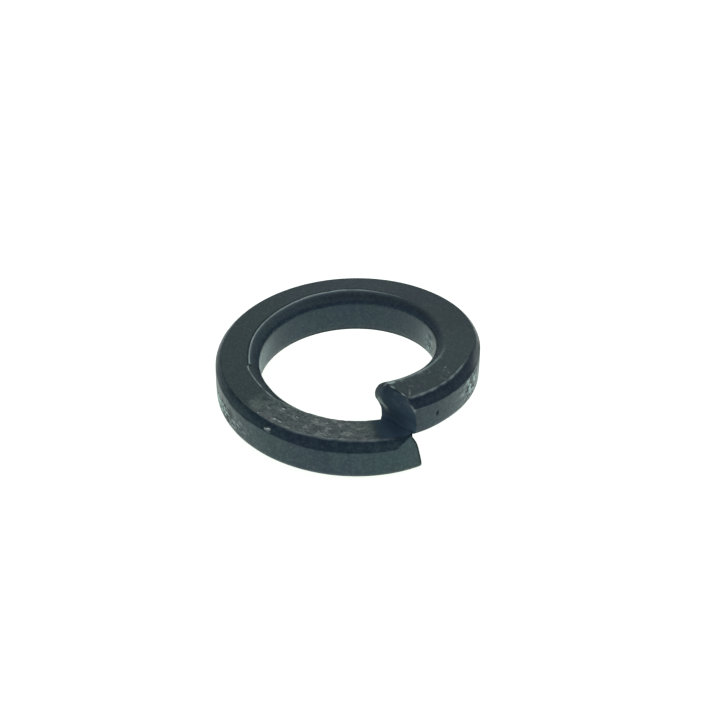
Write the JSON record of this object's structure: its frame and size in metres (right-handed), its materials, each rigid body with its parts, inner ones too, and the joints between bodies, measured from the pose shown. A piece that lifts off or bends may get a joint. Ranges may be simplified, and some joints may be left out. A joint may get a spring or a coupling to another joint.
{
  "type": "spring lock washer",
  "caption": "Split helical spring washer of near-square blackened steel wire, whose sheared ends spring apart to keep a screw or nut tight.",
  "frame": {"origin": "on the bore's axis, in the plane under the low end", "axes": "+Z along the bore, from the low end to the raised end; +X through the split"},
  "size_m": [0.0156, 0.0156, 0.005],
  "materials": {
    "black_steel": "satin"
  },
  "bodies": {
    "root": {"spring_washer": "black_steel"}
  },
  "joints": []
}
